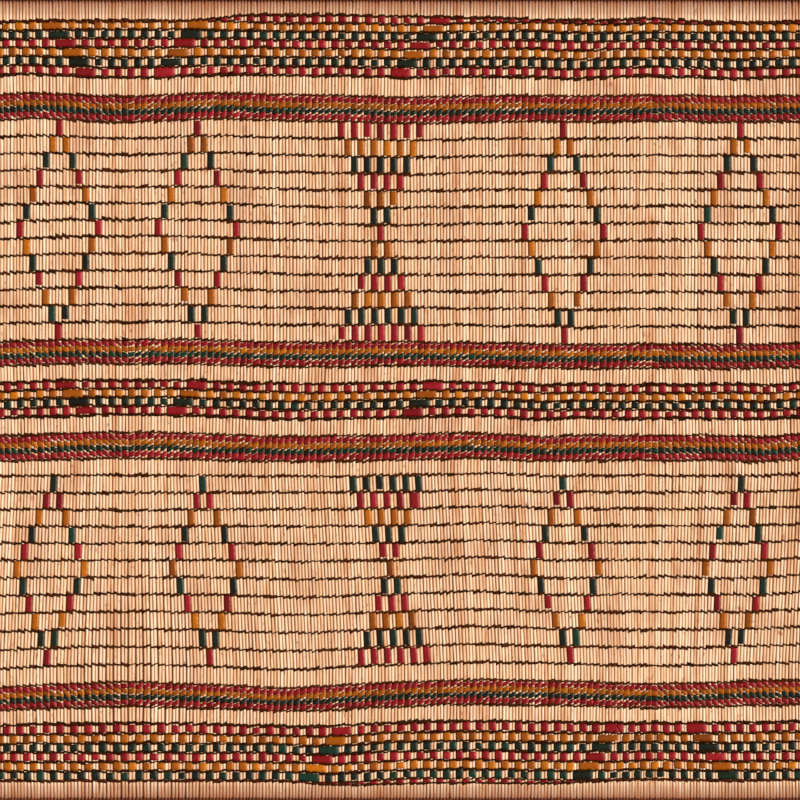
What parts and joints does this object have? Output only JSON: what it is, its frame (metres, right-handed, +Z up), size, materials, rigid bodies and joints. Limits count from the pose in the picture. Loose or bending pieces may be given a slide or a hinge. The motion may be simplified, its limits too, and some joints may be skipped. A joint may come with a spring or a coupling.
{
  "type": "woven reed rug",
  "caption": "Flat rug of thin round stems bound by twined cords, with striped and checked bands of coloured strips and narrow end bindings.",
  "frame": {"origin": "on the floor under the middle of the rug, below the middle check band", "axes": "+X across the stems along the bands, +Y along the stems towards the top edge, +Z up through the thickness"},
  "size_m": [0.9936, 0.967, 0.0066],
  "materials": {
    "stems": "dry natural straw, faint sheen, brown streaks and spots",
    "twined_cord": "dark brown twisted plant fibre, matt",
    "red_strips": "thin dyed hide, crimson, soft sheen",
    "orange_strips": "thin dyed hide, mustard orange, soft sheen",
    "green_strips": "thin dyed hide, green black, soft sheen",
    "end_binding": "rust brown, worn, matt"
  },
  "bodies": {
    "root": {"stem_panel": "stems", "check_band_top": "orange_strips", "stripe_band_1": "red_strips", "stripe_band_2": "red_strips", "check_band_middle": "orange_strips", "stripe_band_3": "red_strips", "stripe_band_4": "red_strips", "check_band_bottom": "orange_strips", "upper_field_cord_01": "twined_cord", "upper_field_cord_02": "twined_cord", "upper_field_cord_03": "twined_cord", "upper_field_cord_04": "twined_cord", "upper_field_cord_05": "twined_cord", "upper_field_cord_06": "twined_cord", "upper_field_cord_07": "twined_cord", "upper_field_cord_08": "twined_cord", "upper_field_cord_09": "twined_cord", "upper_field_cord_10": "twined_cord", "upper_field_cord_11": "twined_cord", "upper_field_cord_12": "twined_cord", "lower_field_cord_01": "twined_cord", "lower_field_cord_02": "twined_cord", "lower_field_cord_03": "twined_cord", "lower_field_cord_04": "twined_cord", "lower_field_cord_05": "twined_cord", "lower_field_cord_06": "twined_cord", "lower_field_cord_07": "twined_cord", "lower_field_cord_08": "twined_cord", "lower_field_cord_09": "twined_cord", "lower_field_cord_10": "twined_cord", "lower_field_cord_11": "twined_cord", "lower_field_cord_12": "twined_cord", "end_binding_top": "end_binding", "end_binding_bottom": "end_binding"}
  },
  "joints": []
}
